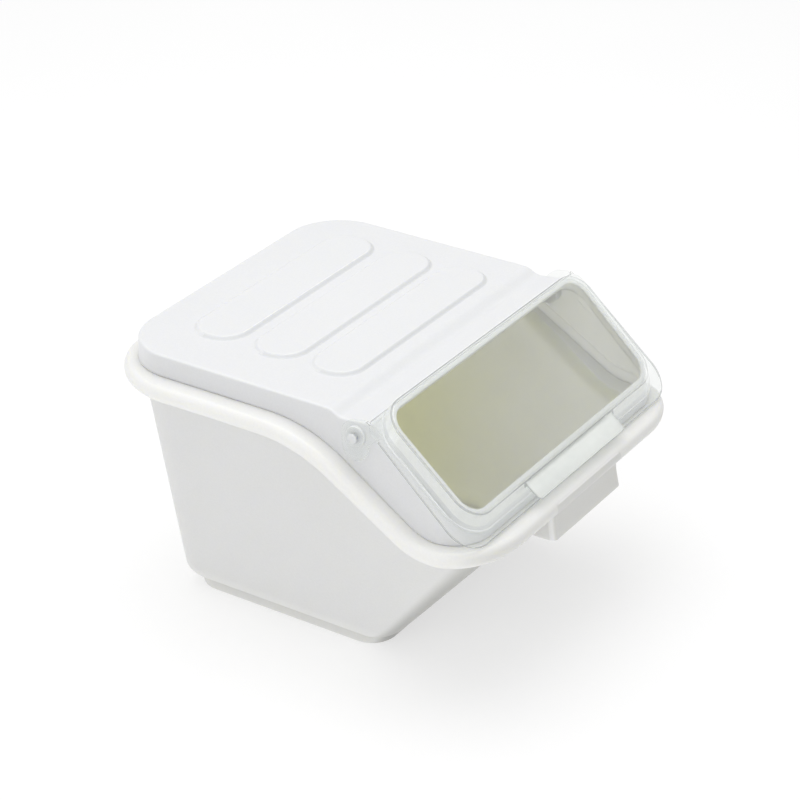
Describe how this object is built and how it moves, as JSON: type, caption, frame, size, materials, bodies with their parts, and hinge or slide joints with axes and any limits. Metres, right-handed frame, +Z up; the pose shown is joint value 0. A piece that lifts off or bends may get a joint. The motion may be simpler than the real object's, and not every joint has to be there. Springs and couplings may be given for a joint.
{
  "type": "rice bin with flip lid",
  "caption": "Free-standing white bin with a sloping front, a lift-off ribbed cover and a hinged clear lid over a slanted scoop opening.",
  "frame": {"origin": "on the floor plane, under the middle of the bounding box", "axes": "+Z up, -Y towards the sloping front with the clear lid and the grip, X across the bin between the two hinges"},
  "size_m": [0.374, 0.416, 0.2788],
  "materials": {
    "white_tub": "satin moulded white plastic",
    "white_cover": "satin moulded white plastic",
    "clear_lid": "clear gloss plastic",
    "pin_plastic": "translucent white plastic"
  },
  "bodies": {
    "bin": {"bin_body": "white_tub"},
    "cover": {"top_cover": "white_cover", "hinge_pin_left": "pin_plastic", "hinge_pin_right": "pin_plastic"},
    "lid": {"flip_lid": "clear_lid"}
  },
  "joints": [
    {"name": "cover_lift", "type": "slide", "parent": "bin", "child": "cover", "axis": [0, 0, 1], "range_m": [0, 0.12]},
    {"name": "lid_flip", "type": "hinge", "parent": "cover", "child": "lid", "pos_m": [0, -0.0707, 0.2485], "axis": [-1, 0, 0], "range_deg": [0, 94]}
  ]
}
